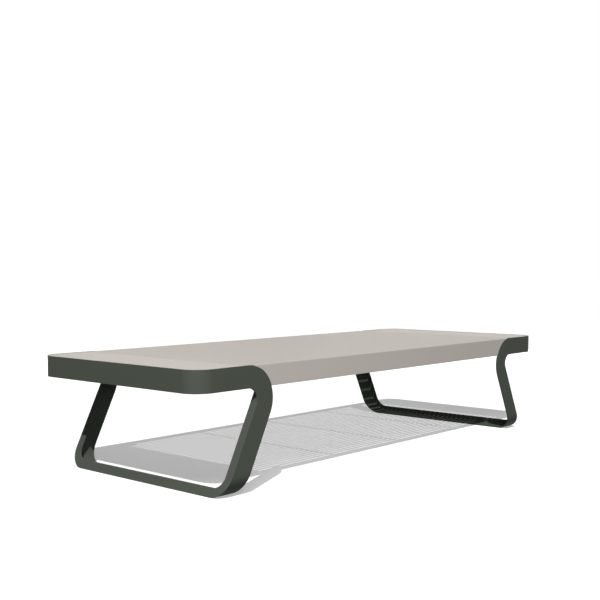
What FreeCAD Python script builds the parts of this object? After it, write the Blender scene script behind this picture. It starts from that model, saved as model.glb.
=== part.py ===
import FreeCAD, Part
import math
import os
import re
import Sketcher
from FreeCAD import Placement, Rotation, Vector

# Wide backless bench: a slotted sheet-metal seat held between two mirror-image end frames.
# +X runs along the seat, +Y across it to the rear, +Z up; the origin is on the floor under its middle.
# Millimetres and degrees. The left end is modelled, and turned half round for the right end.
SIZES = {
    "overall_length": 2280,
    "overall_width": 885,
    "seat_height": 450,
    # end frames: one ribbon of plate that is band, leg and runner in turn, with a flange along legs and runner
    "ribbon_width": 80,
    "plate_thickness": 6,
    "corner_radius": 72,
    "foot_bend_radius": 75,
    "knee_radius": 40,
    "knee_inset": 243,
    "leg_lean": 26.5,
    "flange_depth": 32,
    "anchor_hole": 12,
    "anchor_setback": 142.5,
    # seat: a sheet that drops between the bands, folded down along both long sides
    "sheet_thickness": 3,
    "seat_drop": 1,
    "seat_gap": 1,
    "fold_radius": 4,
    "skirt_height": 76,
    "lip_depth": 12,
    "slot_width": 8.7,
    "slot_chamfer": 2.5,
    "slot_margin": 11,
    "slot_rows": 32,
    "slot_fields": 4,
    "field_pitch": 460,
    "web_width": 16,
    # stiffeners and fixings under the seat
    "rib_thickness": 6,
    "rib_depth": 15,
    "beam_inset": 140,
    "beam_width": 40,
    "beam_depth": 60,
    "beam_wall": 3,
    "beam_bend": 5,
    "stud_diameter": 8,
    "stud_length": 25,
    "stud_count": 3,
    "stud_setback": 142.5,
    "stud_clearance": 1,
    "nut_across": 13,
    "nut_height": 8,
    "thread_gap": 0.1,
    "cleat_count": 3,
    "cleat_setback": 162.5,
    "cleat_length": 60,
    "cleat_leg": 35,
    "cleat_thickness": 4,
    "cleat_bend": 6,
    "cut_margin": 5,
}

# Places worked out from the sizes above. An inset runs from the end of the bench to its middle, and a setback
# from its long side.
PLACES = {
    "half_length": "overall_length / 2",
    "half_width": "overall_width / 2",
    "band_bottom": "seat_height - ribbon_width",
    "knee_height": "band_bottom - knee_radius",
    "knee_outer": "knee_radius + ribbon_width",
    "plate_face": "half_width - plate_thickness",
    "flange_face": "half_width - flange_depth",
    "foot_flat": "half_width - foot_bend_radius",
    "seat_top": "seat_height - seat_drop",
    "seat_under": "seat_top - sheet_thickness",
    "skirt_bottom": "seat_top - skirt_height",
    "seat_inset": "plate_thickness + seat_gap",
    "seat_end": "half_length - seat_inset",
    "seat_side": "half_width - seat_inset",
    "seat_corner": "corner_radius - seat_inset",
    "fold_line": "half_width - fold_radius",
    "fold_inner": "fold_radius - sheet_thickness",
    "skirt_face": "half_width - sheet_thickness",
    "knee_place": "half_length - knee_inset",
    "knee_cut": "knee_outer + seat_gap",
    "row_span": "overall_width - 2 * slot_margin - slot_width",
    "field_span": "(slot_fields - 1) * field_pitch",
    "beam_middle": "beam_inset + beam_width / 2 - half_length",
    "beam_under": "seat_under - beam_wall",
    "anchor_spacing": "overall_width - 2 * anchor_setback",
    "stud_span": "overall_width - 2 * stud_setback",
    "cleat_span": "overall_width - 2 * cleat_setback",
}

ALIAS = re.compile(r"[a-z][a-z_]*")
HALF_TURN = Placement(Vector(), Rotation(Vector(0, 0, 1), 180))

doc = FreeCAD.newDocument("wide_bench")
sheet = doc.addObject("Spreadsheet::Sheet", "Sizes")
for row, (alias, size) in enumerate(SIZES.items(), start=1):
    sheet.set(f"A{row}", alias.replace("_", " "))
    sheet.set(f"B{row}", str(size))
    sheet.setAlias(f"B{row}", alias)
doc.recompute()
pieces = []


# Formulas

def tie(formula):
    def swap(found):
        word = found.group()
        if word in PLACES:
            return "(" + tie(PLACES[word]) + ")"
        return "Sizes." + word if word in SIZES else word
    return ALIAS.sub(swap, formula)


def measure(formula):
    return float(sheet.evalExpression(tie(formula)))


def from_left(inset):
    return f"({inset}) - half_length"


def on_leg(offset, height):
    # inset of a line along the leg that passes the knee's centre at a given distance, at a given height
    return (f"knee_inset + ({offset}) * cos(leg_lean)"
            f" - (knee_height - ({offset}) * sin(leg_lean) - ({height})) * tan(leg_lean)")


def at_knee(offset):
    # the point where that line runs into the knee's bend
    place = from_left(f"knee_inset + ({offset}) * cos(leg_lean)")
    return place, f"knee_height - ({offset}) * sin(leg_lean)"


def spread(count, span):
    # even places along a span, about its middle
    total = round(measure(count))
    gaps = max(total - 1, 1)
    return [f"({span}) * {2 * index + 1 - total} / {2 * gaps}" for index in range(total)]


# Sketches and features

def new_body(label, placement=Placement()):
    body = doc.addObject("PartDesign::Body", label)
    body.Label = label
    body.Placement = placement
    pieces.append(body)
    return body


def add_outline(sketch, corners):
    # a corner is (x, y) before a straight run and (x, y, radius, turn) before an arc, turn +1 anticlockwise
    points = [Vector(measure(corner[0]), measure(corner[1]), 0) for corner in corners]
    starts = []
    first = sketch.GeometryCount
    for index, corner in enumerate(corners):
        start = points[index]
        end = points[(index + 1) % len(points)]
        if len(corner) == 2:
            sketch.addGeometry(Part.LineSegment(start, end))
            starts.append(1)
            continue
        radius = measure(corner[2])
        turn = corner[3]
        chord = end - start
        across = Vector(-chord.y, chord.x, 0).normalize()
        rise = math.sqrt(max(radius ** 2 - chord.Length ** 2 / 4, 0))
        centre = (start + end) / 2 + across * turn * rise
        begin, finish = (start, end) if turn > 0 else (end, start)
        low = math.atan2(begin.y - centre.y, begin.x - centre.x)
        high = math.atan2(finish.y - centre.y, finish.x - centre.x)
        circle = Part.Circle(centre, Vector(0, 0, 1), radius)
        sketch.addGeometry(Part.ArcOfCircle(circle, low, high if high > low else high + 2 * math.pi))
        starts.append(1 if turn > 0 else 2)
    for index, corner in enumerate(corners):
        edge = first + index
        before = first + (index - 1) % len(corners)
        last_end = 3 - starts[index - 1]
        sketch.addConstraint(Sketcher.Constraint("Coincident", before, last_end, edge, starts[index]))
        for kind, formula in zip(("DistanceX", "DistanceY"), corner):
            constraint = Sketcher.Constraint(kind, edge, starts[index], measure(formula))
            sketch.setExpression(f"Constraints[{sketch.addConstraint(constraint)}]", tie(formula))
        if len(corner) > 2:
            constraint = Sketcher.Constraint("Radius", edge, measure(corner[2]))
            sketch.setExpression(f"Constraints[{sketch.addConstraint(constraint)}]", tie(corner[2]))


def new_sketch(body, name, plane, offset="0"):
    sketch = body.newObject("Sketcher::SketchObject", name)
    planes = {feature.Role: feature for feature in body.Origin.OriginFeatures}
    sketch.AttachmentSupport = [(planes[plane], "")]
    sketch.MapMode = "FlatFace"
    sketch.setExpression("AttachmentOffset.Base.z", tie(offset))
    return sketch


def draw(body, name, plane, offset, *outlines):
    sketch = new_sketch(body, name, plane, offset)
    for corners in outlines:
        add_outline(sketch, corners)
    return sketch


def draw_holes(body, name, plane, offset, diameter, centres):
    sketch = new_sketch(body, name, plane, offset)
    for place in centres:
        centre = Vector(measure(place[0]), measure(place[1]), 0)
        edge = sketch.addGeometry(Part.Circle(centre, Vector(0, 0, 1), measure(diameter) / 2))
        for kind, formula in zip(("DistanceX", "DistanceY"), place):
            constraint = Sketcher.Constraint(kind, edge, 3, measure(formula))
            sketch.setExpression(f"Constraints[{sketch.addConstraint(constraint)}]", tie(formula))
        constraint = Sketcher.Constraint("Diameter", edge, measure(diameter))
        sketch.setExpression(f"Constraints[{sketch.addConstraint(constraint)}]", tie(diameter))
    return sketch


def pad(body, sketch, length, backwards=False, symmetric=False):
    feature = body.newObject("PartDesign::Pad", sketch.Name + "_pad")
    feature.Profile = sketch
    feature.SideType = "Symmetric" if symmetric else "One side"
    feature.Reversed = backwards
    feature.setExpression("Length", tie(length))
    doc.recompute()
    return feature


def pocket(body, sketch, depth=None, backwards=False):
    # with no depth the cut goes right through, both ways from the sketch
    before = body.Shape.Volume
    feature = body.newObject("PartDesign::Pocket", sketch.Name + "_cut")
    feature.Profile = sketch
    if depth is None:
        feature.Type = "ThroughAll"
        feature.SideType = "Symmetric"
    else:
        feature.Reversed = backwards
        feature.setExpression("Length", tie(depth))
    doc.recompute()
    if not body.Shape.Volume < before:
        raise RuntimeError(f"{sketch.Name} cuts nothing from {body.Label}")
    return feature


# End frames

def end_band(label, placement):
    # the short side of the band and both rounded corners, bent from one strip on edge
    body = new_body(label, placement)
    outer = "corner_radius"
    inner = "corner_radius - plate_thickness"
    bend_end = from_left("corner_radius")
    face = from_left("0")
    back = from_left("plate_thickness")
    flat = "half_width - corner_radius"
    strip = draw(body, label + "_strip", "XY_Plane", "band_bottom", [
        (bend_end, "half_width", outer, 1),
        (face, flat),
        (face, f"-({flat})", outer, 1),
        (bend_end, "-half_width"),
        (bend_end, "-plate_face", inner, -1),
        (back, f"-({flat})"),
        (back, flat, inner, -1),
        (bend_end, "plate_face"),
    ])
    pad(body, strip, "ribbon_width")


def leg_plate(label, placement, side):
    # flat plate in the long face: the band's return, the knee and the leaning leg down to the foot bend
    body = new_body(label, placement)
    outer_knee = at_knee("knee_outer")
    inner_knee = at_knee("knee_radius")
    outline = draw(body, label + "_outline", "XZ_Plane", f"{-side} * half_width", [
        (from_left("corner_radius"), "seat_height"),
        (from_left("knee_inset"), "seat_height", "knee_outer", -1),
        outer_knee,
        (from_left(on_leg("knee_outer", "foot_bend_radius")), "foot_bend_radius"),
        (from_left(on_leg("knee_radius", "foot_bend_radius")), "foot_bend_radius"),
        (*inner_knee, "knee_radius", 1),
        (from_left("knee_inset"), "band_bottom"),
        (from_left("corner_radius"), "band_bottom"),
    ])
    pad(body, outline, "plate_thickness", backwards=side < 0)


def leg_flange(label, placement, side):
    # strip welded inside the plate's outer edge, straight up past the knee to the underside of the seat
    body = new_body(label, placement)
    inner = "knee_radius + plate_thickness"
    strip = draw(body, label + "_strip", "XZ_Plane", f"{-side} * plate_face", [
        (from_left(on_leg("knee_radius", "foot_bend_radius")), "foot_bend_radius"),
        (from_left(on_leg(inner, "foot_bend_radius")), "foot_bend_radius"),
        (from_left(on_leg(inner, "seat_under")), "seat_under"),
        (from_left(on_leg("knee_radius", "seat_under")), "seat_under"),
    ])
    pad(body, strip, "flange_depth - plate_thickness", backwards=side < 0)


def runner(label, placement):
    # plate flat on the floor, bent up at both ends into the legs and trimmed to their lean
    body = new_body(label, placement)
    foot = "foot_bend_radius"
    inner = "foot_bend_radius - plate_thickness"
    outer_edge = on_leg("knee_radius", "0")
    inner_edge = on_leg("knee_outer", "0")
    outer_top = on_leg("knee_radius", f"{foot} + cut_margin")
    outer_low = on_leg("knee_radius", "-cut_margin")
    inner_top = on_leg("knee_outer", f"{foot} + cut_margin")
    inner_low = on_leg("knee_outer", "-cut_margin")
    trough = draw(body, label + "_trough", "YZ_Plane", from_left(outer_edge), [
        ("-half_width", foot, foot, 1),
        ("-foot_flat", "0"),
        ("foot_flat", "0", foot, 1),
        ("half_width", foot),
        ("plate_face", foot, inner, -1),
        ("foot_flat", "plate_thickness"),
        ("-foot_flat", "plate_thickness", inner, -1),
        ("-plate_face", foot),
    ])
    pad(body, trough, f"({on_leg('knee_outer', foot)}) - ({outer_edge})")
    lean = draw(body, label + "_lean", "XZ_Plane", "0", [
        (from_left(outer_low), "-cut_margin"),
        (from_left(outer_top), f"{foot} + cut_margin"),
        (from_left(f"{outer_low} - cut_margin"), f"{foot} + cut_margin"),
        (from_left(f"{outer_low} - cut_margin"), "-cut_margin"),
    ], [
        (from_left(inner_low), "-cut_margin"),
        (from_left(f"{inner_top} + cut_margin"), "-cut_margin"),
        (from_left(f"{inner_top} + cut_margin"), f"{foot} + cut_margin"),
        (from_left(inner_top), f"{foot} + cut_margin"),
    ])
    pocket(body, lean)
    middle = from_left(f"(({outer_edge}) + ({inner_edge})) / 2")
    holes = draw_holes(body, label + "_anchors", "XY_Plane", "0", "anchor_hole", [
        (middle, "-anchor_spacing / 2"),
        (middle, "anchor_spacing / 2"),
    ])
    pocket(body, holes)


def runner_flange(label, placement):
    # the leaning upstand on the runner's outer edge, with a rounded corner up into each leg
    body = new_body(label, placement)
    foot = "foot_bend_radius"
    seat = "plate_thickness"
    inner = "knee_radius + plate_thickness"
    slab = draw(body, label + "_slab", "XZ_Plane", "0", [
        (from_left(on_leg("knee_radius", seat)), seat),
        (from_left(on_leg(inner, seat)), seat),
        (from_left(on_leg(inner, foot)), foot),
        (from_left(on_leg("knee_radius", foot)), foot),
    ])
    pad(body, slab, "2 * plate_face", symmetric=True)
    bend = "foot_bend_radius - plate_thickness"
    notch = "foot_bend_radius - flange_depth"
    over = f"{foot} + cut_margin"
    outside = "plate_face + cut_margin"
    below = f"{seat} - cut_margin"
    window = draw(body, label + "_window", "YZ_Plane", "0", [
        ("-flange_face", foot, notch, 1),
        ("-foot_flat", "flange_depth"),
        ("foot_flat", "flange_depth", notch, 1),
        ("flange_face", foot),
        ("flange_face", over),
        ("-flange_face", over),
    ], [
        ("-plate_face", foot, bend, 1),
        ("-foot_flat", seat),
        ("-foot_flat", below),
        (f"-({outside})", below),
        (f"-({outside})", foot),
    ], [
        ("foot_flat", seat, bend, 1),
        ("plate_face", foot),
        (outside, foot),
        (outside, below),
        ("foot_flat", below),
    ])
    pocket(body, window)


def cross_beam(label, placement):
    # folded channel between the two leg plates that carries this end of the seat
    body = new_body(label, placement)
    near = from_left("beam_inset")
    near_face = from_left("beam_inset + beam_wall")
    near_bend = from_left("beam_inset + beam_bend")
    far = from_left("beam_inset + beam_width")
    low = "seat_under - beam_depth"
    inner = "beam_bend - beam_wall"
    section = draw(body, label + "_section", "XZ_Plane", "0", [
        (far, low),
        (far, f"{low} + beam_wall"),
        (near_bend, f"{low} + beam_wall", inner, -1),
        (near_face, f"{low} + beam_bend"),
        (near_face, "seat_under - beam_bend", inner, -1),
        (near_bend, "seat_under - beam_wall"),
        (far, "seat_under - beam_wall"),
        (far, "seat_under"),
        (near_bend, "seat_under", "beam_bend", 1),
        (near, "seat_under - beam_bend"),
        (near, f"{low} + beam_bend", "beam_bend", 1),
        (near_bend, low),
    ])
    pad(body, section, "2 * plate_face", symmetric=True)
    centres = [("beam_middle", place) for place in spread("stud_count", "stud_span")]
    holes = draw_holes(body, label + "_holes", "XY_Plane", "seat_under",
                       "stud_diameter + stud_clearance", centres)
    pocket(body, holes, "beam_wall")


def seat_cleat(label, placement, place):
    # folded angle on the inside of the end band, with its flat leg under the seat's end
    body = new_body(label, placement)
    face = from_left("plate_thickness")
    bend = from_left("plate_thickness + cleat_bend")
    inside = from_left("plate_thickness + cleat_thickness")
    tip = from_left("plate_thickness + cleat_leg")
    inner = "cleat_bend - cleat_thickness"
    section = draw(body, label + "_section", "XZ_Plane", f"-({place})", [
        (face, "seat_under - cleat_leg"),
        (inside, "seat_under - cleat_leg"),
        (inside, "seat_under - cleat_bend", inner, -1),
        (bend, "seat_under - cleat_thickness"),
        (tip, "seat_under - cleat_thickness"),
        (tip, "seat_under"),
        (bend, "seat_under", "cleat_bend", 1),
        (face, "seat_under - cleat_bend"),
    ])
    pad(body, section, "cleat_length", symmetric=True)


# Seat

def seat_panel(label):
    body = new_body(label)
    sheet_outline = draw(body, "seat_sheet", "XY_Plane", "seat_under", [
        ("-knee_place", "-fold_line"),
        ("knee_place", "-fold_line"),
        ("knee_place", "-seat_side"),
        ("seat_end - seat_corner", "-seat_side", "seat_corner", 1),
        ("seat_end", "seat_corner - seat_side"),
        ("seat_end", "seat_side - seat_corner", "seat_corner", 1),
        ("seat_end - seat_corner", "seat_side"),
        ("knee_place", "seat_side"),
        ("knee_place", "fold_line"),
        ("-knee_place", "fold_line"),
        ("-knee_place", "seat_side"),
        ("seat_corner - seat_end", "seat_side", "seat_corner", 1),
        ("-seat_end", "seat_side - seat_corner"),
        ("-seat_end", "seat_corner - seat_side", "seat_corner", 1),
        ("seat_corner - seat_end", "-seat_side"),
        ("-knee_place", "-seat_side"),
    ])
    pad(body, sheet_outline, "sheet_thickness")
    low_fold = "skirt_bottom + fold_radius"
    high_fold = "seat_top - fold_radius"
    lip_top = "skirt_bottom + sheet_thickness"
    lip_edge = "half_width - lip_depth"
    for side, turn in (("-", 1), ("", -1)):
        skirt = draw(body, f"seat_skirt_{turn + 2}", "YZ_Plane", "0", [
            (f"{side}fold_line", "seat_top", "fold_radius", turn),
            (f"{side}half_width", high_fold),
            (f"{side}half_width", low_fold, "fold_radius", turn),
            (f"{side}fold_line", "skirt_bottom"),
            (f"{side}({lip_edge})", "skirt_bottom"),
            (f"{side}({lip_edge})", lip_top),
            (f"{side}fold_line", lip_top, "fold_inner", -turn),
            (f"{side}skirt_face", low_fold),
            (f"{side}skirt_face", high_fold, "fold_inner", -turn),
            (f"{side}fold_line", "seat_under"),
        ])
        pad(body, skirt, "2 * knee_place", symmetric=True)
    # both long sides are cut back round the knees, and the lip stops short of them
    cut_top = "knee_height + knee_cut"
    lip_end = "knee_place - knee_cut"
    for side, sign in (("front", 1), ("rear", -1)):
        knees = draw(body, f"seat_knees_{side}", "XZ_Plane", f"{sign} * half_width", [
            ("-half_length", "knee_height"),
            ("-half_length", cut_top),
            ("-knee_place", cut_top, "knee_cut", -1),
            ("knee_cut - knee_place", "knee_height"),
        ], [
            ("half_length", "knee_height"),
            ("knee_place - knee_cut", "knee_height", "knee_cut", -1),
            ("knee_place", cut_top),
            ("half_length", cut_top),
        ])
        pocket(body, knees, "seat_inset", backwards=sign < 0)
        relief = draw(body, f"seat_relief_{side}", "XZ_Plane", f"{sign} * skirt_face", *[[
            (f"{end}({lip_end})", "skirt_bottom - cut_margin"),
            (f"{end}half_length", "skirt_bottom - cut_margin"),
            (f"{end}half_length", low_fold),
            (f"{end}({lip_end})", low_fold),
        ] for end in ("-", "")])
        pocket(body, relief, "lip_depth", backwards=sign < 0)
    # one slot with clipped corners in the first field, repeated over the fields and the rows
    left = "web_width / 2 - slot_fields * field_pitch / 2"
    right = f"{left} + field_pitch - web_width"
    middle = "-row_span / 2"
    near = f"{middle} - slot_width / 2"
    far = f"{middle} + slot_width / 2"
    slot = draw(body, "seat_slot", "XY_Plane", "seat_top", [
        (f"{left} + slot_chamfer", near),
        (f"{right} - slot_chamfer", near),
        (right, f"{near} + slot_chamfer"),
        (right, f"{far} - slot_chamfer"),
        (f"{right} - slot_chamfer", far),
        (f"{left} + slot_chamfer", far),
        (left, f"{far} - slot_chamfer"),
        (left, f"{near} + slot_chamfer"),
    ])
    first_slot = pocket(body, slot, "sheet_thickness")
    slots = body.newObject("PartDesign::LinearPattern", "seat_slots")
    slots.Originals = [first_slot]
    slots.Direction = (slot, ["H_Axis"])
    slots.setExpression("Length", tie("field_span"))
    slots.setExpression("Occurrences", tie("slot_fields"))
    slots.Direction2 = (slot, ["V_Axis"])
    slots.setExpression("Length2", tie("row_span"))
    slots.setExpression("Occurrences2", tie("slot_rows"))
    body.Tip = slots


def seat_rib(label, field):
    # flat bar on edge under the solid web between two fields of slots
    body = new_body(label)
    middle = f"({field} - slot_fields / 2) * field_pitch"
    bar = draw(body, label + "_bar", "XZ_Plane", "0", [
        (f"{middle} - rib_thickness / 2", "seat_under - rib_depth"),
        (f"{middle} + rib_thickness / 2", "seat_under - rib_depth"),
        (f"{middle} + rib_thickness / 2", "seat_under"),
        (f"{middle} - rib_thickness / 2", "seat_under"),
    ])
    pad(body, bar, "2 * seat_side", symmetric=True)


# Fixings: studs welded under the seat and nuts under the beam's top

def bind(feature, **formulas):
    for name, formula in formulas.items():
        feature.setExpression(name, tie(formula))
    return feature


def stand(feature, across, height):
    feature.setExpression("Placement.Base.x", tie("beam_middle"))
    feature.setExpression("Placement.Base.y", tie(across))
    feature.setExpression("Placement.Base.z", tie(height))
    return feature


def group(label, placement, solids):
    compound = doc.addObject("Part::Compound", label)
    compound.Label = label
    compound.Links = solids
    compound.Placement = placement
    pieces.append(compound)


def seat_studs(label, placement):
    studs = []
    for across in spread("stud_count", "stud_span"):
        stud = doc.addObject("Part::Cylinder", label + "_stud")
        bind(stud, Radius="stud_diameter / 2", Height="stud_length")
        studs.append(stand(stud, across, "seat_under - stud_length"))
    group(label, placement, studs)


def seat_nuts(label, placement):
    nuts = []
    for across in spread("stud_count", "stud_span"):
        hexagon = doc.addObject("Part::Prism", label + "_hexagon")
        hexagon.Polygon = 6
        bind(hexagon, Circumradius="nut_across / 2 / cos(30)", Height="nut_height")
        stand(hexagon, across, "beam_under - nut_height")
        thread = doc.addObject("Part::Cylinder", label + "_thread")
        bind(thread, Radius="stud_diameter / 2 + thread_gap", Height="nut_height + 2 * cut_margin")
        stand(thread, across, "beam_under - nut_height - cut_margin")
        nut = doc.addObject("Part::Cut", label + "_nut")
        nut.Base = hexagon
        nut.Tool = thread
        nuts.append(nut)
    group(label, placement, nuts)


# The half turn that makes the right end also swaps its front and rear sides.
ENDS = (("left", Placement(), ("front", "rear")), ("right", HALF_TURN, ("rear", "front")))
for end, placement, sides in ENDS:
    end_band(f"{end}_end_band", placement)
    for side_name, side in zip(sides, (-1, 1)):
        leg_plate(f"{end}_{side_name}_leg_plate", placement, side)
        leg_flange(f"{end}_{side_name}_leg_flange", placement, side)
    runner(f"{end}_runner", placement)
    runner_flange(f"{end}_runner_flange", placement)
    cross_beam(f"{end}_cross_beam", placement)
    for number, place in enumerate(spread("cleat_count", "cleat_span"), start=1):
        seat_cleat(f"{end}_seat_cleat_{number}", placement, place)
    seat_studs(f"{end}_seat_studs", placement)
    seat_nuts(f"{end}_seat_nuts", placement)

seat_panel("seat_panel")
for field in range(1, round(measure("slot_fields"))):
    seat_rib(f"seat_rib_{field}", field)

doc.recompute()
for item in doc.Objects:
    if "Invalid" in item.State or "Error" in item.State:
        raise RuntimeError(f"{item.Label} did not build: {item.State}")
for piece in pieces:
    if piece.Shape.isNull() or not piece.Shape.isValid():
        raise RuntimeError(f"{piece.Label} has no valid shape")

os.makedirs("parts", exist_ok=True)
for piece in pieces:
    piece.Shape.exportStep(f"parts/{piece.Label}.step")
    print(f"{piece.Label}: {len(piece.Shape.Solids)} solids, {piece.Shape.Volume / 1000:.1f} cm3")
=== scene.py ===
import math

import bmesh
import bpy
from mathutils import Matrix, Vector


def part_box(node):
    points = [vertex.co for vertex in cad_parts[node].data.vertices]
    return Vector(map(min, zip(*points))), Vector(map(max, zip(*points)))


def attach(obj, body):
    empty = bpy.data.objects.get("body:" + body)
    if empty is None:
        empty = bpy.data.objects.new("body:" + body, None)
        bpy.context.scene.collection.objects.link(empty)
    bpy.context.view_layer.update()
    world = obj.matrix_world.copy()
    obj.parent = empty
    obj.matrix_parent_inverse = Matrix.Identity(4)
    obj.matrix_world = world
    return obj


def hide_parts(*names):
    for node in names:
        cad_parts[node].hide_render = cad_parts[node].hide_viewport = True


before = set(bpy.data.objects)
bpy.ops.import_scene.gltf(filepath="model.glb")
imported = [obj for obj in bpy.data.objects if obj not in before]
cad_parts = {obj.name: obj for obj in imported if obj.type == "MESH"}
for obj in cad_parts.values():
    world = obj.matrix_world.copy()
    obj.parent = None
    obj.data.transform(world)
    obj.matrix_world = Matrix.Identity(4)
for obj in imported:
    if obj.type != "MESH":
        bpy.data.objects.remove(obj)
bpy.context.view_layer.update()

# Wide backless bench: a slotted beige seat sheet between two green-grey ribbon frames.
# Lengths are in metres, +X runs along the seat and -Y is its front.

mm = 0.001
up = Vector((0, 0, 1))
bandLow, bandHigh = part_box("left_end_band")
benchEnd, benchSide = -bandLow.x, bandHigh.y
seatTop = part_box("seat_panel")[1].z
ends = {"left": -1, "right": 1}
sides = {"front": -1, "rear": 1}


# Node trees

class Wire:
    # one socket, with the operators that shader and geometry maths need
    def __init__(self, socket):
        self.socket = socket

    def __getitem__(self, name):
        return Wire(self.socket.node.outputs[name])

    def calc(self, operation, first, second):
        tree = self.socket.id_data
        return addNode(tree, "ShaderNodeMath", {"operation": operation}, {0: first, 1: second})

    def __add__(self, other):
        return self.calc("ADD", self, other)

    def __sub__(self, other):
        return self.calc("SUBTRACT", self, other)

    def __rsub__(self, other):
        return self.calc("SUBTRACT", other, self)

    def __mul__(self, other):
        return self.calc("MULTIPLY", self, other)

    __radd__ = __add__
    __rmul__ = __mul__


def addNode(tree, kind, settings=None, inputs=None):
    node = tree.nodes.new(kind)
    for name, value in (settings or {}).items():
        if name == "stops":                       # colour ramp: (position, grey level) pairs
            for element, (position, level) in zip(node.color_ramp.elements, value):
                element.position = position
                element.color = (level, level, level, 1)
        else:
            setattr(node, name, value)
    for key, value in (inputs or {}).items():
        if isinstance(value, Wire):
            tree.links.new(value.socket, node.inputs[key])
        else:
            node.inputs[key].default_value = value
    return Wire(node.outputs[0]) if node.outputs else node


def newMaterial(name):
    material = bpy.data.materials.new(name)
    material.use_nodes = True
    material.node_tree.nodes.clear()
    return material, material.node_tree


# Finishes

framePaint, seatPaint, zincSteel = "frame_paint", "seat_paint", "zinc_steel"
framePaintLook = {"colour": (0.0675, 0.0775, 0.063, 1), "rubbed": (0.087, 0.098, 0.082, 1),
                  "roughness": 0.36, "shine": 0.012, "peelScale": 620, "peelDepth": 0.03 * mm,
                  "grainScale": 2600, "cloudScale": 5}
seatPaintLook = {"colour": (0.470, 0.436, 0.405, 1), "rubbed": (0.516, 0.482, 0.451, 1),
                 "roughness": 0.62, "shine": 0.04, "peelScale": 900, "peelDepth": 0.04 * mm,
                 "grainScale": 3200, "cloudScale": 4}
coatLook = {"patchScale": 38.0, "patchStops": ((0.46, 0), (0.72, 1)), "wear": 0.5,
            "cloudTone": 0.015, "grainTone": 0.04, "cloudGloss": 0.02, "grainGloss": 0.04,
            "wearGloss": 0.08, "peelBump": 0.35}
zincLook = {"colour": (0.62, 0.63, 0.64, 1), "tarnish": (0.50, 0.49, 0.45, 1), "roughness": 0.34,
            "spangleScale": 240, "scratchScale": 1500, "dullScale": 90.0, "spangleGloss": 0.16,
            "scratchGloss": 0.2, "scratchDepth": 0.03 * mm, "scratchBump": 0.25}


def noise(tree, place, scale, detail):
    return addNode(tree, "ShaderNodeTexNoise", None,
                   {"Vector": place, "Scale": scale, "Detail": detail})


def powderCoat(name, look):
    # sprayed and baked paint: orange-peel skin, fine grain, faint clouds, edges a little rubbed
    material, tree = newMaterial(name)
    place = addNode(tree, "ShaderNodeTexCoord")["Object"]
    peel = noise(tree, place, look["peelScale"], 2.0)
    grain = noise(tree, place, look["grainScale"], 1.0)
    cloud = noise(tree, place, look["cloudScale"], 4.0)
    patchy = noise(tree, place, coatLook["patchScale"], 3.0)
    edge = addNode(tree, "ShaderNodeAttribute", {"attribute_name": "edge"})["Fac"]
    rub = addNode(tree, "ShaderNodeValToRGB", {"stops": coatLook["patchStops"]}, {"Fac": patchy})
    wear = addNode(tree, "ShaderNodeSeparateColor", None, {0: rub}) * edge * coatLook["wear"]
    tone = 1 + (cloud - 0.5) * coatLook["cloudTone"] + (grain - 0.5) * coatLook["grainTone"]
    painted = addNode(tree, "ShaderNodeMix", {"data_type": "RGBA"},
                      {0: wear, 6: look["colour"], 7: look["rubbed"]})[2]
    shaded = addNode(tree, "ShaderNodeVectorMath", {"operation": "SCALE"},
                     {0: painted, "Scale": tone})
    gloss = (look["roughness"] + (cloud - 0.5) * coatLook["cloudGloss"]
             + (grain - 0.5) * coatLook["grainGloss"] - wear * coatLook["wearGloss"])
    skin = addNode(tree, "ShaderNodeBump", None,
                   {"Strength": coatLook["peelBump"], "Distance": look["peelDepth"],
                    "Height": peel})
    shader = addNode(tree, "ShaderNodeBsdfPrincipled", None,
                     {"Base Color": shaded, "Roughness": gloss, "Normal": skin,
                      "Specular IOR Level": look["shine"]})
    addNode(tree, "ShaderNodeOutputMaterial", None, {"Surface": shader})
    return material


def zincPlate(name, look):
    # plated steel: spangled, finely scratched and a little tarnished
    material, tree = newMaterial(name)
    place = addNode(tree, "ShaderNodeTexCoord")["Object"]
    spangle = addNode(tree, "ShaderNodeTexVoronoi", None,
                      {"Vector": place, "Scale": look["spangleScale"]})["Color"]
    cell = addNode(tree, "ShaderNodeSeparateColor", None, {0: spangle})
    scratch = noise(tree, place, look["scratchScale"], 3.0)
    dull = noise(tree, place, look["dullScale"], 4.0)
    colour = addNode(tree, "ShaderNodeMix", {"data_type": "RGBA"},
                     {0: dull, 6: look["colour"], 7: look["tarnish"]})[2]
    gloss = (look["roughness"] + (cell - 0.5) * look["spangleGloss"]
             + (scratch - 0.5) * look["scratchGloss"])
    skin = addNode(tree, "ShaderNodeBump", None,
                   {"Strength": look["scratchBump"], "Distance": look["scratchDepth"],
                    "Height": scratch})
    shader = addNode(tree, "ShaderNodeBsdfPrincipled", None,
                     {"Base Color": colour, "Roughness": gloss, "Metallic": 1.0, "Normal": skin})
    addNode(tree, "ShaderNodeOutputMaterial", None, {"Surface": shader})
    return material


finishes = {framePaint: powderCoat("framePaint", framePaintLook),
            seatPaint: powderCoat("seatPaint", seatPaintLook),
            zincSteel: zincPlate("zincSteel", zincLook)}
print("finishes:", ", ".join(finishes))


# Mesh and Geometry Nodes tools

def newObject(name, points, edges=(), faces=()):
    mesh = bpy.data.meshes.new(name)
    mesh.from_pydata([tuple(point) for point in points], list(edges), list(faces))
    piece = bpy.data.objects.new(name, mesh)
    bpy.context.scene.collection.objects.link(piece)
    return piece


def storeValues(piece, name, kind, values):
    attribute = piece.data.attributes.new(name, kind, "POINT")
    for item, value in zip(attribute.data, values):
        if kind == "FLOAT_VECTOR":
            item.vector = value
        else:
            item.value = value


def loopEdges(count, closed=True):
    last = count if closed else count - 1
    return [(index, (index + 1) % count) for index in range(last)]


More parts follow.
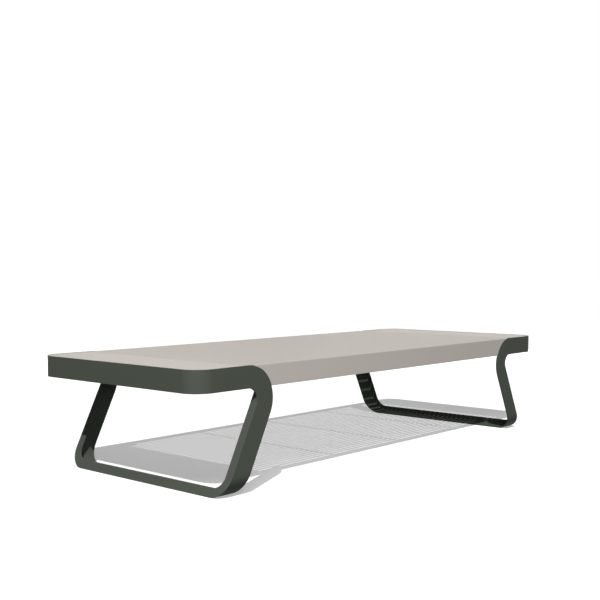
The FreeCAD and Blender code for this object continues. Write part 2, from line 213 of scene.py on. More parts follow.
def newTree(name, sockets):
    tree = bpy.data.node_groups.new(name, "GeometryNodeTree")
    tree.interface.new_socket("Geometry", in_out="INPUT", socket_type="NodeSocketGeometry")
    tree.interface.new_socket("Geometry", in_out="OUTPUT", socket_type="NodeSocketGeometry")
    for label, kind in sockets.items():
        tree.interface.new_socket(label, in_out="INPUT", socket_type="NodeSocket" + kind)
    return tree, addNode(tree, "NodeGroupInput")


def endTree(tree, geometry, crease, paint):
    # bends stay smooth and folds crisp, then everything is made real and painted
    turn = addNode(tree, "GeometryNodeInputMeshEdgeAngle")
    crisp = addNode(tree, "FunctionNodeCompare", {"operation": "GREATER_THAN"},
                    {"A": turn, "B": crease})
    smooth = addNode(tree, "FunctionNodeBooleanMath", {"operation": "NOT"}, {0: crisp})
    faces = addNode(tree, "GeometryNodeSetShadeSmooth", {"domain": "FACE"},
                    {0: geometry, "Shade Smooth": True})
    edges = addNode(tree, "GeometryNodeSetShadeSmooth", {"domain": "EDGE"},
                    {0: faces, "Shade Smooth": smooth})
    real = addNode(tree, "GeometryNodeRealizeInstances", None, {0: edges})
    done = addNode(tree, "GeometryNodeSetMaterial", None, {0: real, "Material": paint})
    addNode(tree, "NodeGroupOutput", None, {0: done})


def runTree(piece, tree, values):
    modifier = piece.modifiers.new(tree.name, "NODES")
    modifier.node_group = tree
    for item in tree.interface.items_tree:
        if item.in_out == "INPUT" and item.name in values:
            modifier[item.identifier] = values[item.name]
    bakeMesh(piece)


def bakeMesh(piece):
    graph = bpy.context.evaluated_depsgraph_get()
    graph.update()
    made = bpy.data.meshes.new_from_object(piece.evaluated_get(graph),
                                           preserve_all_data_layers=True, depsgraph=graph)
    made.name = piece.name
    piece.modifiers.clear()
    piece.data = made


def faceOutwards(piece):
    shape = bmesh.new()
    shape.from_mesh(piece.data)
    bmesh.ops.recalc_face_normals(shape, faces=shape.faces)
    shape.to_mesh(piece.data)
    shape.free()


def fitPiece(piece, slotName, *nodes):
    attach(piece, "root")
    if nodes:
        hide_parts(*nodes)


# Strips: a section carried along a path, with an across and a through direction at every station

strip = {"softSteps": 4, "hold": 1.5 * mm}
creaseAngle = math.radians(35)


def makeSweepTree():
    tree, inputs = newTree("stripSweep", {"Section": "Object", "Crease angle": "Float",
                                          "Paint": "Material"})
    shape = addNode(tree, "GeometryNodeObjectInfo", None, {"Object": inputs["Section"]})["Geometry"]
    outline = addNode(tree, "GeometryNodeMeshToCurve", None, {0: shape})
    spot = addNode(tree, "GeometryNodeInputPosition")
    outline = addNode(tree, "GeometryNodeStoreNamedAttribute", {"data_type": "FLOAT_VECTOR"},
                      {"Geometry": outline, "Name": "section", "Value": spot})
    path = addNode(tree, "GeometryNodeMeshToCurve", None, {0: inputs["Geometry"]})
    swept = addNode(tree, "GeometryNodeCurveToMesh", None,
                    {"Curve": path, "Profile Curve": outline, "Fill Caps": True})
    read = {}
    for name in ("along", "across", "through", "section"):
        read[name] = addNode(tree, "GeometryNodeInputNamedAttribute", {"data_type": "FLOAT_VECTOR"},
                             {"Name": name})
    parts = addNode(tree, "ShaderNodeSeparateXYZ", None, {0: read["section"]})
    across = addNode(tree, "ShaderNodeVectorMath", {"operation": "SCALE"},
                     {0: read["across"], "Scale": parts["X"]})
    through = addNode(tree, "ShaderNodeVectorMath", {"operation": "SCALE"},
                      {0: read["through"], "Scale": parts["Y"]})
    offset = addNode(tree, "ShaderNodeVectorMath", {"operation": "ADD"}, {0: across, 1: through})
    target = addNode(tree, "ShaderNodeVectorMath", {"operation": "ADD"},
                     {0: read["along"], 1: offset})
    swept = addNode(tree, "GeometryNodeSetPosition", None, {"Geometry": swept, "Position": target})
    for name in read:
        swept = addNode(tree, "GeometryNodeRemoveAttribute", None,
                        {"Geometry": swept, "Name": name})
    endTree(tree, swept, inputs["Crease angle"], inputs["Paint"])
    return tree


sweepTree = makeSweepTree()


def section(corners, hold):
    # corners are (u, v, radius): a rounded one also gets a point on each side, where there is room,
    # which keeps the flats flat and the rubbed paint at the edge
    points, edge = [], []
    for index, (u, v, radius) in enumerate(corners):
        here = Vector((u, v))
        if not radius:
            points.append(here)
            edge.append(0)
            continue
        before = Vector(corners[index - 1][:2]) - here
        after = Vector(corners[(index + 1) % len(corners)][:2]) - here
        room = min(before.length, after.length) > 2 * (radius + hold)
        before.normalize()
        after.normalize()
        half = math.acos(max(-1, min(1, before.dot(after)))) / 2
        reach = radius / math.tan(half)
        centre = here + (before + after).normalized() * (radius / math.sin(half))
        first, last = here + before * reach - centre, here + after * reach - centre
        angle = math.pi - 2 * half
        if room:
            points.append(here + before * (reach + hold))
            edge.append(0)
        for step in range(strip["softSteps"] + 1):
            share = step / strip["softSteps"]
            spoke = first * math.sin((1 - share) * angle) + last * math.sin(share * angle)
            points.append(centre + spoke / math.sin(angle))
            edge.append(1)
        if room:
            points.append(here + after * (reach + hold))
            edge.append(0)
    return points, edge


def sweep(name, stations, corners, slotName, hold=strip["hold"]):
    points, edge = section(corners, hold)
    shape = newObject(name + "Section", [(point.x, point.y, 0) for point in points],
                      loopEdges(len(points)))
    storeValues(shape, "edge", "FLOAT", edge)
    piece = newObject(name, [station[0] for station in stations], loopEdges(len(stations), False))
    for index, label in enumerate(("along", "across", "through")):
        storeValues(piece, label, "FLOAT_VECTOR", [station[index] for station in stations])
    runTree(piece, sweepTree, {"Section": shape, "Crease angle": creaseAngle,
                               "Paint": finishes[slotName]})
    bpy.data.objects.remove(shape)
    faceOutwards(piece)
    return piece


# End frames: one ribbon of plate with a flange on its outer edge

ribbon = {"width": bandHigh.z - bandLow.z, "plate": 6 * mm, "flange": 32 * mm,
          "cornerRadius": 72 * mm, "footRadius": 75 * mm, "kneeRadius": 40 * mm,
          "kneeInset": 243 * mm, "lean": math.radians(26.5), "edgeRadius": 1.0 * mm,
          "weldLeg": 4.5 * mm, "weldTop": 398 * mm, "cornerSteps": 24,
          "kneeSteps": 30, "footSteps": 20, "weldSteps": 6}
anchors = {"spacing": 600 * mm, "radius": 6 * mm, "sink": 3 * mm, "steps": 32, "overshoot": 1 * mm}
plate, width, depth, soft = ribbon["plate"], ribbon["width"], ribbon["flange"], ribbon["edgeRadius"]
kneeHeight = bandLow.z - ribbon["kneeRadius"]


def atEnd(end, inset, y, z):
    return Vector((end * (benchEnd - inset), y, z))


def towards(end, inset, y, z):
    return Vector((-end * inset, y, z))


def acrossLeg(end):
    return towards(end, 1 / math.cos(ribbon["lean"]), 0, 0)


def onLeg(offset, height):
    # inset, at that height, of the leg line that passes the knee's centre at that offset
    lean = ribbon["lean"]
    drop = kneeHeight - offset * math.sin(lean) - height
    return ribbon["kneeInset"] + offset * math.cos(lean) - drop * math.tan(lean)


def bandPath(end):
    radius, stations = ribbon["cornerRadius"], []
    for side in (-1, 1):
        corner = []
        for step in range(ribbon["cornerSteps"] + 1):
            angle = math.pi / 2 * step / ribbon["cornerSteps"]
            outward = (-math.sin(angle), side * math.cos(angle))
            place = atEnd(end, radius + outward[0] * radius,
                          side * (benchSide - radius) + outward[1] * radius, bandLow.z)
            corner.append((place, up, towards(end, -outward[0], -outward[1], 0)))
        stations += corner if side < 0 else corner[::-1]
    return stations


def legPath(end, side):
    knee, foot, inward = ribbon["kneeRadius"], ribbon["footRadius"], Vector((0, -side, 0))
    stations = [(atEnd(end, ribbon["cornerRadius"], side * benchSide, bandLow.z), up, inward)]
    for step in range(ribbon["kneeSteps"] + 1):
        angle = math.pi / 2 - (math.pi / 2 + ribbon["lean"]) * step / ribbon["kneeSteps"]
        out = (math.cos(angle), math.sin(angle))
        place = atEnd(end, ribbon["kneeInset"] + knee * out[0], side * benchSide,
                      kneeHeight + knee * out[1])
        stations.append((place, towards(end, out[0], 0, out[1]), inward))
    stations.append((atEnd(end, onLeg(knee, foot), side * benchSide, foot), acrossLeg(end), inward))
    return stations


def flangePath(end, side, heights):
    # straight up inside the plate's outer edge, past the knee
    across, inward = acrossLeg(end), Vector((0, -side, 0))
    return [(atEnd(end, onLeg(ribbon["kneeRadius"], z), side * benchSide, z), across, inward)
            for z in heights]


def runnerPath(end):
    radius, lean, stations = ribbon["footRadius"], ribbon["lean"], []
    for side in (-1, 1):
        bend = []
        for step in range(ribbon["footSteps"] + 1):
            angle = math.pi / 2 * step / ribbon["footSteps"]
            out = (side * math.cos(angle), -math.sin(angle))
            z = radius + out[1] * radius
            place = atEnd(end, onLeg(ribbon["kneeRadius"], z),
                          side * (benchSide - radius) + out[0] * radius, z)
            inward = towards(end, -out[1] * math.tan(lean), -out[0], -out[1])
            bend.append((place, acrossLeg(end), inward))
        stations += bend if side < 0 else bend[::-1]
    return stations


def drillAnchors(piece, middle):
    # two countersunk holes straight down through the runner
    cutter = newObject("cutter", [])
    shape = bmesh.new()
    radius, sink, over = anchors["radius"], anchors["sink"], anchors["overshoot"]
    levels = ((plate + over, radius + sink + over), (plate - sink, radius), (-over, radius))
    for sign in (-1, 1):
        spot, rings = Vector((middle, sign * anchors["spacing"] / 2)), []
        for z, size in levels:
            ring = []
            for turn in range(anchors["steps"]):
                angle = 2 * math.pi * turn / anchors["steps"]
                ring.append(shape.verts.new((spot.x + size * math.cos(angle),
                                             spot.y + size * math.sin(angle), z)))
            rings.append(ring)
        for upper, lower in zip(rings, rings[1:]):
            for first, second in loopEdges(anchors["steps"]):
                shape.faces.new((upper[first], lower[first], lower[second], upper[second]))
        shape.faces.new(rings[0])
        shape.faces.new(rings[-1][::-1])
    bmesh.ops.recalc_face_normals(shape, faces=shape.faces)
    shape.to_mesh(cutter.data)
    shape.free()
    cut = piece.modifiers.new("holes", "BOOLEAN")
    cut.object = cutter
    cut.solver = "EXACT"
    bakeMesh(piece)
    bpy.data.objects.remove(cutter)


def filletSection():
    # hollow seam in the corner between plate and flange
    leg, points = ribbon["weldLeg"], [(plate, plate, 0)]
    for step in range(ribbon["weldSteps"] + 1):
        angle = math.pi / 2 / ribbon["weldSteps"] * step
        points.append((plate + leg - leg * math.sin(angle), plate + leg - leg * math.cos(angle), 0))
    return points


plateSection = [(0, 0, soft), (width, 0, soft), (width, plate, soft), (0, plate, 0)]
flangeSection = [(0, plate, 0), (plate, plate, 0), (plate, depth, soft), (0, depth, soft)]
weldSection = filletSection()

for endName, end in ends.items():
    band, floor = bandPath(end), runnerPath(end)
    piece = sweep(endName + "EndBand", band, plateSection, framePaint)
    fitPiece(piece, framePaint, endName + "_end_band")
    for sideName, side in sides.items():
        label = endName + sideName.capitalize() + "Leg"
        node = f"{endName}_{sideName}_leg"
        leg = legPath(end, side)
        piece = sweep(label + "Plate", leg, plateSection, framePaint)
        fitPiece(piece, framePaint, node + "_plate")
        upright = flangePath(end, side, (ribbon["footRadius"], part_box(node + "_flange")[1].z))
        piece = sweep(label + "Flange", upright, flangeSection, framePaint)
        fitPiece(piece, framePaint, node + "_flange")
    piece = sweep(endName + "Runner", floor, plateSection, framePaint)
    inset = (onLeg(ribbon["kneeRadius"], 0) + onLeg(ribbon["kneeRadius"] + width, 0)) / 2
    drillAnchors(piece, end * (benchEnd - inset))
    fitPiece(piece, framePaint, endName + "_runner")
    piece = sweep(endName + "RunnerFlange", floor, flangeSection, framePaint)
    fitPiece(piece, framePaint, endName + "_runner_flange")
    weldTop = [ribbon["weldTop"]]
    seam = flangePath(end, -1, weldTop) + floor + flangePath(end, 1, weldTop)
    fitPiece(sweep(endName + "WeldFillet", seam, weldSection, framePaint), framePaint)
print("end frames: ribbon of", len(band) + len(floor) + 2 * len(leg), "stations each")


# Seat: slots by Geometry Nodes in a border with folded skirts

seat = {"sheet": 3 * mm, "gap": 7 * mm, "fold": 1.2 * mm, "innerFold": 0.6 * mm, "lip": 12 * mm,
        "skirt": 78.5 * mm, "corner": 65 * mm, "kneeGap": 1 * mm, "rows": 32, "slotWidth": 7.2 * mm,
        "slotLength": 1824 * mm, "margin": 11 * mm, "endBorder": 8 * mm, "slotBorder": 1.5 * mm,
        "softEdge": 0.2 * mm, "slotSteps": 6, "cornerSteps": 16, "foldSteps": 6, "skirtSteps": 18,
        "sewDistance": 0.02 * mm}
seatUnder = seatTop - seat["sheet"]
rowSpan = 2 * benchSide - 2 * seat["margin"] - seat["slotWidth"]
rowPitch = rowSpan / (seat["rows"] - 1)
slotLimit = rowSpan / 2 + seat["slotWidth"] / 2 + seat["slotBorder"]
slotsEnd = seat["slotLength"] / 2 + seat["endBorder"]
sideEdge, tip = benchSide - seat["gap"], benchEnd - seat["gap"]
foldLine = {seatTop: benchSide - seat["fold"],
            seatUnder: benchSide - seat["sheet"] - seat["innerFold"]}


def slotCell():
    # one slot with rounded ends and an eased upper rim, in the piece of sheet around it
    halfX, halfY = slotsEnd, rowPitch / 2
    straight = (seat["slotLength"] - seat["slotWidth"]) / 2
    steps, points, faces, edge = seat["slotSteps"], [], [], []

    def ring(radius, z, mark):
        first = len(points)
        for turn in (1, -1):
            for step in range(steps + 1):
                angle = math.pi * (step / steps - 0.5) + (0 if turn > 0 else math.pi)
                points.append((turn * straight + radius * math.cos(angle),
                               radius * math.sin(angle), z))
                edge.append(mark)
        return list(range(first, len(points)))

    def rim(z):
        first = len(points)
        points.extend([(halfX, -halfY, z), (halfX, halfY, z),
                       (-halfX, halfY, z), (-halfX, -halfY, z)])
        edge.extend([0] * 4)
        return list(range(first, first + 4))

    def sheet(rimRing, slotRing, flip):
        right, left = slotRing[:steps + 1], slotRing[steps + 1:]
        made = [[rimRing[0], rimRing[1]] + right[::-1], [rimRing[2], rimRing[3]] + left[::-1],
                [rimRing[1], rimRing[2], left[0], right[-1]],
                [rimRing[3], rimRing[0], right[0], left[-1]]]
        faces.extend([face[::-1] for face in made] if flip else made)

    half, easing = seat["slotWidth"] / 2, seat["softEdge"]
    upper = ring(half + easing, seatTop, 1)
    wallTop = ring(half, seatTop - easing, 1)
    wallLow = ring(half, seatUnder, 0)
    sheet(rim(seatTop), upper, False)
    sheet(rim(seatUnder), wallLow, True)
    for high, low in ((upper, wallTop), (wallTop, wallLow)):
        for first, second in loopEdges(len(high)):
            faces.append((high[first], high[second], low[second], low[first]))
    made = newObject("slotCell", points, (), faces)
    storeValues(made, "edge", "FLOAT", edge)
    return made


def kneeEnd(z):
    # where the sheet stops against the knee's outer bend, at that height
    radius = ribbon["kneeRadius"] + ribbon["width"] + seat["kneeGap"]
    return benchEnd - ribbon["kneeInset"] - math.sqrt(max(radius ** 2 - (z - kneeHeight) ** 2, 0))


def skirtSection(side):
    # (y, z, end, edge) round the folded skirt, from the top of the sheet to its underside
    fold, sheet, inner = seat["fold"], seat["sheet"], seat["innerFold"]
    low, reach, near = seatTop - seat["skirt"], sheet + inner, 0.1 * mm
    face, lipEdge = benchSide - sheet, benchSide - seat["lip"]
    lipEnd = (benchEnd - ribbon["kneeInset"] - ribbon["kneeRadius"] - ribbon["width"]
              - seat["kneeGap"])
    chain = []

    def add(y, z, edge=0):
        # the lip stops short, clear of the knee
        end = kneeEnd(z) if y > face - near or z > low + reach else lipEnd
        chain.append((side * y, z, end, edge))

    def bend(y, z, radius, first, last):
        for step in range(seat["foldSteps"] + 1):
            angle = math.radians(first + (last - first) * step / seat["foldSteps"])
            add(y + radius * math.cos(angle), z + radius * math.sin(angle),
                1 if radius == fold else 0)

    def flat(y, start, stop):
        for step in range(1, seat["skirtSteps"]):
            add(y, start + (stop - start) * step / seat["skirtSteps"])

    bend(foldLine[seatTop], seatTop - fold, fold, 90, 0)
    flat(benchSide, seatTop - fold, low + fold)
    bend(foldLine[seatTop], low + fold, fold, 0, -90)
    add(lipEdge, low)
    add(lipEdge, low + sheet)
    bend(foldLine[seatUnder], low + reach, inner, -90, 0)
    flat(face, low + reach, seatTop - reach)
    bend(foldLine[seatUnder], seatTop - reach, inner, 0, 90)
    return chain


def endOutline(side):
    # round the solid end of the sheet, from where the slots stop, rear edge first
    corner, steps = seat["corner"], seat["cornerSteps"]
    outline = [(side * slotsEnd, sideEdge)]
    for rear in (1, -1):
        arc = []
        for step in range(steps + 1):
            angle = math.pi / 2 * step / steps
            arc.append((side * (tip - corner + corner * math.sin(angle)),
                        rear * (sideEdge - corner + corner * math.cos(angle))))
        outline += arc if rear > 0 else arc[::-1]
    return outline + [(side * slotsEnd, -sideEdge)]


def seatBorder():
    points, faces, edge = [], [], []

    def add(x, y, z, mark=0):
        points.append((x, y, z))
        edge.append(mark)
        return len(points) - 1

    def polygon(outline, z, flip):
        face = [add(x, y, z) for x, y in outline]
        faces.append(face[::-1] if flip else face)

    rows = [rowPitch * (index - seat["rows"] / 2) for index in range(seat["rows"] + 1)]
    rows = [max(-slotLimit, min(slotLimit, row)) for row in rows]
    for z, flip in ((seatTop, False), (seatUnder, True)):
        step = kneeEnd(z)
        for side in (-1, 1):
            # strip between the slots and the fold
            outline = [(slotsEnd, slotLimit), (slotsEnd, sideEdge), (step, sideEdge),
                       (step, foldLine[z])]
            outline = [(-slotsEnd, slotLimit)] + outline + [(-x, y) for x, y in outline[:0:-1]]
            polygon([(x, side * y) for x, y in outline], z, flip == (side > 0))
            # solid ends
            outline = [(side * slotsEnd, row) for row in rows] + endOutline(side)
            polygon(outline, z, flip == (side < 0))
    # rim of the solid ends, and the step where the fold begins
    for side in (-1, 1):
        levels = []
        for z in (seatTop, seatUnder):
            step, fold = side * kneeEnd(z), foldLine[z]
            rim = ([(step, fold), (step, sideEdge)] + endOutline(side)
                   + [(step, -sideEdge), (step, -fold)])
            levels.append([add(x, y, z) for x, y in rim])
        high, low = levels
        for first, second in loopEdges(len(high), False):
            face = (high[first], low[first], low[second], high[second])
            faces.append(face if side < 0 else face[::-1])
    # skirts along both long sides
    for side in (-1, 1):
        rings = [[add(x, y, z, mark) for x in (-end, end)]
                 for y, z, end, mark in skirtSection(side)]
        for upper, lower in zip(rings, rings[1:]):
            faces.append((upper[0], lower[0], lower[1], upper[1]))
        for place in (0, 1):
            caps = [ring[place] for ring in rings]
            for index in range(len(caps) // 2 - 1):
                faces.append((caps[index], caps[index + 1], caps[-index - 2], caps[-index - 1]))
    border = newObject("seatSheet", points, (), faces)
    storeValues(border, "edge", "FLOAT", edge)
    return border


def makeSlotTree():
    tree, inputs = newTree("slottedSheet", {"Slot": "Object", "Rows": "Int", "Row pitch": "Float",
                                            "Slot limit": "Float", "Crease angle": "Float",
                                            "Paint": "Material"})
    start = (1 - inputs["Rows"]) * inputs["Row pitch"] * 0.5
    start = addNode(tree, "ShaderNodeCombineXYZ", None, {"Y": start})
    step = addNode(tree, "ShaderNodeCombineXYZ", None, {"Y": inputs["Row pitch"]})
    line = addNode(tree, "GeometryNodeMeshLine", None,
                   {"Count": inputs["Rows"], "Start Location": start, "Offset": step})
    cell = addNode(tree, "GeometryNodeObjectInfo", None, {"Object": inputs["Slot"]})["Geometry"]
    slots = addNode(tree, "GeometryNodeInstanceOnPoints", None, {"Points": line, "Instance": cell})
    slots = addNode(tree, "GeometryNodeRealizeInstances", None, {0: slots})
    # the outer rows give up some of their sheet to the border
    spot = addNode(tree, "GeometryNodeInputPosition")
    spot = addNode(tree, "ShaderNodeSeparateXYZ", None, {0: spot})
    kept = addNode(tree, "ShaderNodeClamp", None,
                   {"Value": spot["Y"], "Min": 0 - inputs["Slot limit"],
                    "Max": inputs["Slot limit"]})
    place = addNode(tree, "ShaderNodeCombineXYZ", None, {"X": spot["X"], "Y": kept, "Z": spot["Z"]})
    slots = addNode(tree, "GeometryNodeSetPosition", None, {"Geometry": slots, "Position": place})
    whole = addNode(tree, "GeometryNodeJoinGeometry", None, {0: slots})
    tree.links.new(inputs["Geometry"].socket, whole.socket.node.inputs[0])
    sewn = addNode(tree, "GeometryNodeMergeByDistance", None,
                   {"Geometry": whole, "Distance": seat["sewDistance"]})
    endTree(tree, sewn, inputs["Crease angle"], inputs["Paint"])
    return tree


cell = slotCell()
seatSheet = seatBorder()
runTree(seatSheet, makeSlotTree(), {"Slot": cell, "Rows": seat["rows"], "Row pitch": rowPitch,
                                    "Slot limit": slotLimit, "Crease angle": creaseAngle,
                                    "Paint": finishes[seatPaint]})
bpy.data.objects.remove(cell)
faceOutwards(seatSheet)
fitPiece(seatSheet, seatPaint, "seat_panel")
print("seat:", seat["rows"], "slots,", len(seatSheet.data.polygons), "faces")


# Under the seat: ribs, cross beams, cleats

ribs = {"thickness": 6 * mm, "depth": 15 * mm, "soft": 0.6 * mm, "hold": 1 * mm}
beam = {"width": 40 * mm, "depth": 60 * mm, "wall": 3 * mm, "bend": 5 * mm, "soft": 0.5 * mm,
        "hold": 0.8 * mm}
cleat = {"leg": 35 * mm, "wall": 4 * mm, "bend": 6 * mm, "soft": 0.6 * mm, "hold": 1 * mm}


def acrossPath(x, z, direction, start, stop):
    return [(Vector((x, y, z)), Vector((direction, 0, 0)), -up) for y in (start, stop)]


def ribSection():
    thickness, deep, edge = ribs["thickness"], ribs["depth"], ribs["soft"]
    return [(0, 0, 0), (thickness, 0, 0), (thickness, deep, edge), (0, deep, edge)]


def beamSection():
    # channel, open towards the middle of the bench
    wide, deep, wall, bend, edge = (beam[key] for key in ("width", "depth", "wall", "bend", "soft"))
    return [(0, 0, bend), (wide, 0, edge), (wide, wall, edge), (wall, wall, bend - wall),
            (wall, deep - wall, bend - wall), (wide, deep - wall, edge), (wide, deep, edge),
            (0, deep, bend)]


def cleatSection():
    leg, wall, bend, edge = (cleat[key] for key in ("leg", "wall", "bend", "soft"))
    return [(0, 0, bend), (leg, 0, edge), (leg, wall, edge), (wall, wall, bend - wall),
            (wall, leg, edge), (0, leg, edge)]


def fitAcross(name, node, end, corners, paint, hold):
    # a strip across the bench in its node's box, from the box's outer side
    low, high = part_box(node)
    path = acrossPath(low.x if end < 0 else high.x, high.z, -end, low.y, high.y)
    fitPiece(sweep(name, path, corners, paint, hold), paint, node)


for number in (1, 2, 3):
    fitAcross(f"seatRib{number}", f"seat_rib_{number}", -1, ribSection(), seatPaint, ribs["hold"])
for endName, end in ends.items():
    fitAcross(endName + "CrossBeam", endName + "_cross_beam", end, beamSection(), framePaint,
              beam["hold"])
    for number in (1, 2, 3):
        fitAcross(f"{endName}SeatCleat{number}", f"{endName}_seat_cleat_{number}", end,
                  cleatSection(), framePaint, cleat["hold"])
print("under the seat: ribs, cross beams and cleats")


# Fixings: threaded studs and chamfered nuts, repeated by Geometry Nodes

fixing = {"count": 3, "radius": 4 * mm, "pitch": 1.25 * mm, "thread": 0.6 * mm, "turnSteps": 16,
          "pitchSteps": 4, "tip": 1.2 * mm, "tipSize": 0.82, "across": 13 * mm, "chamfer": 1.0 * mm,
          "chamferRise": 0.6, "faceShare": 0.96, "boreGap": 0.1 * mm, "boreSink": 0.6 * mm,
          "nutSteps": 36}


def lathe(name, rings):
    points, faces, count = [], [], len(rings[0])
    for ringPoints in rings:
        points += ringPoints
    for level in range(len(rings) - 1):
        for first, second in loopEdges(count):
            faces.append((level * count + first, level * count + second,
                          (level + 1) * count + second, (level + 1) * count + first))
    faces.append(list(range(count))[::-1])
    faces.append(list(range((len(rings) - 1) * count, len(rings) * count)))
    piece = newObject(name, points, (), faces)
    storeValues(piece, "edge", "FLOAT", [0] * len(points))
    faceOutwards(piece)
    return piece


def threadedStud(length):
    rings, steps = [], round(length / fixing["pitch"] * fixing["pitchSteps"])
    for level in range(steps + 1):
        z = length * level / steps
        taper = min(1, z / fixing["tip"])                 # the tip is turned down
        ring = []
        for turn in range(fixing["turnSteps"]):
            share = turn / fixing["turnSteps"]
            phase = (z / fixing["pitch"] - share) % 1
            groove = abs(2 * phase - 1) * fixing["thread"]
            turned = fixing["tipSize"] + (1 - fixing["tipSize"]) * taper
            size, angle = (fixing["radius"] - groove) * turned, 2 * math.pi * share
            ring.append((size * math.cos(angle), size * math.sin(angle), z))
        rings.append(ring)
    return lathe("threadedStud", rings)


def hexNut(height):
    # hexagon with its corners turned off top and bottom, sunk a little round the stud
    steps, flat, chamfer = fixing["nutSteps"], fixing["across"] / 2, fixing["chamfer"]

    def ring(z, limit):
        made = []
        for turn in range(steps):
            angle = 2 * math.pi * turn / steps
            wedge = (angle + math.pi / 6) % (math.pi / 3) - math.pi / 6
            size = min(flat / math.cos(wedge), limit)
            made.append((size * math.cos(angle), size * math.sin(angle), z))
        return made

    bore, sink = fixing["radius"] + fixing["boreGap"], fixing["boreSink"]
    corner, turned = flat / math.cos(math.pi / 6), flat * fixing["faceShare"]
    rise = chamfer * fixing["chamferRise"]
    levels = ((sink, bore), (0, bore + sink), (0, turned), (rise, corner), (height - rise, corner),
              (height, turned))
    return lathe("hexNut", [ring(z, limit) for z, limit in levels])


def makeRowTree():
    tree, inputs = newTree("fixingRow", {"Fixing": "Object", "Count": "Int", "Start": "Vector",
                                         "Step": "Vector", "Crease angle": "Float",
                                         "Paint": "Material"})
    row = addNode(tree, "GeometryNodeMeshLine", {"mode": "OFFSET"},
                  {"Count": inputs["Count"], "Start Location": inputs["Start"],
                   "Offset": inputs["Step"]})
    item = addNode(tree, "GeometryNodeObjectInfo", None, {"Object": inputs["Fixing"]})["Geometry"]
    placed = addNode(tree, "GeometryNodeInstanceOnPoints", None, {"Points": row, "Instance": item})
    made = addNode(tree, "GeometryNodeRealizeInstances", None, {0: placed})
    endTree(tree, made, inputs["Crease angle"], inputs["Paint"])
    return tree


def fitRow(name, node, makeFixing, halfDepth):
    low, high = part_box(node)
    item = makeFixing(high.z - low.z)
    start = Vector(((low.x + high.x) / 2, low.y + halfDepth, low.z))
    pitch = (high.y - low.y - 2 * halfDepth) / (fixing["count"] - 1)
    row = newObject(name, [])
    runTree(row, rowTree, {"Fixing": item, "Count": fixing["count"], "Start": start,
                           "Step": (0, pitch, 0), "Crease angle": creaseAngle,
                           "Paint": finishes[zincSteel]})
    bpy.data.objects.remove(item)
    fitPiece(row, zincSteel, node)


rowTree = makeRowTree()
for endName in ends:
    fitRow(endName + "SeatStuds", endName + "_seat_studs", threadedStud, fixing["radius"])
    fitRow(endName + "SeatNuts", endName + "_seat_nuts", hexNut, fixing["across"] / 2)
print("fixings: studs and nuts")


# Floor, light and camera

stage = {"floorReach": 40, "floorDrop": 0.2 * mm, "floorColour": 0.80, "floorGlow": 0.355,
         "bounce": 0.06, "ambient": 0.018}
lamps = {"keySun": {"kind": "SUN", "spot": (-3, -2, 4), "aim": (-2.28, -1.46, 3), "energy": 3.45,
                    "angle": math.radians(0.35)},
         "highPanel": {"kind": "AREA", "spot": (-2.56, -2.67, 3.85), "aim": (-0.9, -0.3, 0.4),
                       "energy": 70, "shape": "RECTANGLE", "size": 2.5, "size_y": 1.4},
         "lowPanel": {"kind": "AREA", "spot": (-3.46, -3.95, 1.03), "aim": (-0.9, -0.3, 0.4),
                      "energy": 60, "shape": "RECTANGLE", "size": 3.2, "size_y": 0.7},
         "rearPanel": {"kind": "AREA", "spot": (1.6, 4.7, 0.8), "aim": (0, 0.3, 0.3), "energy": 40,
                       "shape": "RECTANGLE", "size": 4.0, "size_y": 1.2},
         "farPanel": {"kind": "AREA", "spot": (4.9, 2.4, 0.8), "aim": (1.0, 0, 0.3), "energy": 40,
                      "shape": "RECTANGLE", "size": 3.0, "size_y": 1.2}}
view = {"spot": (-3.1871, -2.6965, 0.7686), "heading": 0.7233, "dip": 0.0827, "focal": 945.0,
        "axisDrop": 50, "picture": 600, "sensor": 36}


def seenRays(tree):
    rays = addNode(tree, "ShaderNodeLightPath")
    return rays["Is Camera Ray"] + rays["Is Glossy Ray"] + rays["Is Transmission Ray"]


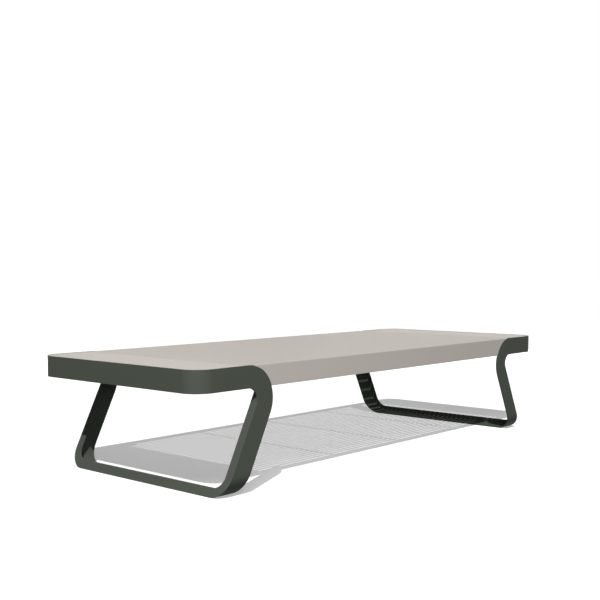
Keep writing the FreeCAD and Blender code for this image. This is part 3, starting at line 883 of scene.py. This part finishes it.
def makeFloor():
    # seen as white with the bench's shadow, and dark to the light that would bounce up from it
    reach = stage["floorReach"]
    corners = [(x * reach, y * reach, -stage["floorDrop"])
               for x, y in ((-1, -1), (1, -1), (1, 1), (-1, 1))]
    floor = newObject("floor", corners, (), [(0, 1, 2, 3)])
    material, tree = newMaterial("paleFloor")
    pale, dim = stage["floorColour"], stage["bounce"]
    lit = addNode(tree, "ShaderNodeBsdfDiffuse", None, {"Color": (pale, pale, pale, 1)})
    glow = addNode(tree, "ShaderNodeEmission", None, {"Strength": stage["floorGlow"]})
    bright = addNode(tree, "ShaderNodeAddShader", None, {0: lit, 1: glow})
    quiet = addNode(tree, "ShaderNodeBsdfDiffuse", None, {"Color": (dim, dim, dim, 1)})
    mixed = addNode(tree, "ShaderNodeMixShader", None, {0: seenRays(tree), 1: quiet, 2: bright})
    addNode(tree, "ShaderNodeOutputMaterial", None, {"Surface": mixed})
    floor.data.materials.append(material)


def makeWorld():
    world = bpy.data.worlds.new("studio")
    world.use_nodes = True
    world.node_tree.nodes.clear()
    tree = world.node_tree
    strength = seenRays(tree) * (1 - stage["ambient"]) + stage["ambient"]
    back = addNode(tree, "ShaderNodeBackground", None,
                   {"Color": (1, 1, 1, 1), "Strength": strength})
    addNode(tree, "ShaderNodeOutputWorld", None, {"Surface": back})
    bpy.context.scene.world = world


def addLamp(name, kind, spot, aim, **settings):
    lamp = bpy.data.lights.new(name, kind)
    for key, value in settings.items():
        setattr(lamp, key, value)
    holder = bpy.data.objects.new(name, lamp)
    holder.location = spot
    holder.rotation_euler = (Vector(aim) - Vector(spot)).to_track_quat("-Z", "Y").to_euler()
    bpy.context.scene.collection.objects.link(holder)


makeFloor()
makeWorld()
for name, lamp in lamps.items():
    addLamp(name, **lamp)

camera = bpy.data.objects.new("camera", bpy.data.cameras.new("camera"))
camera.data.sensor_width = view["sensor"]
camera.data.lens = view["sensor"] * view["focal"] / view["picture"]
camera.data.shift_y = view["axisDrop"] / view["picture"]
camera.location = view["spot"]
camera.rotation_euler = (math.pi / 2 - view["dip"], 0, view["heading"] - math.pi / 2)
bpy.context.scene.collection.objects.link(camera)
bpy.context.scene.camera = camera
bpy.context.scene.view_settings.view_transform = "Standard"
print("floor, light and camera")
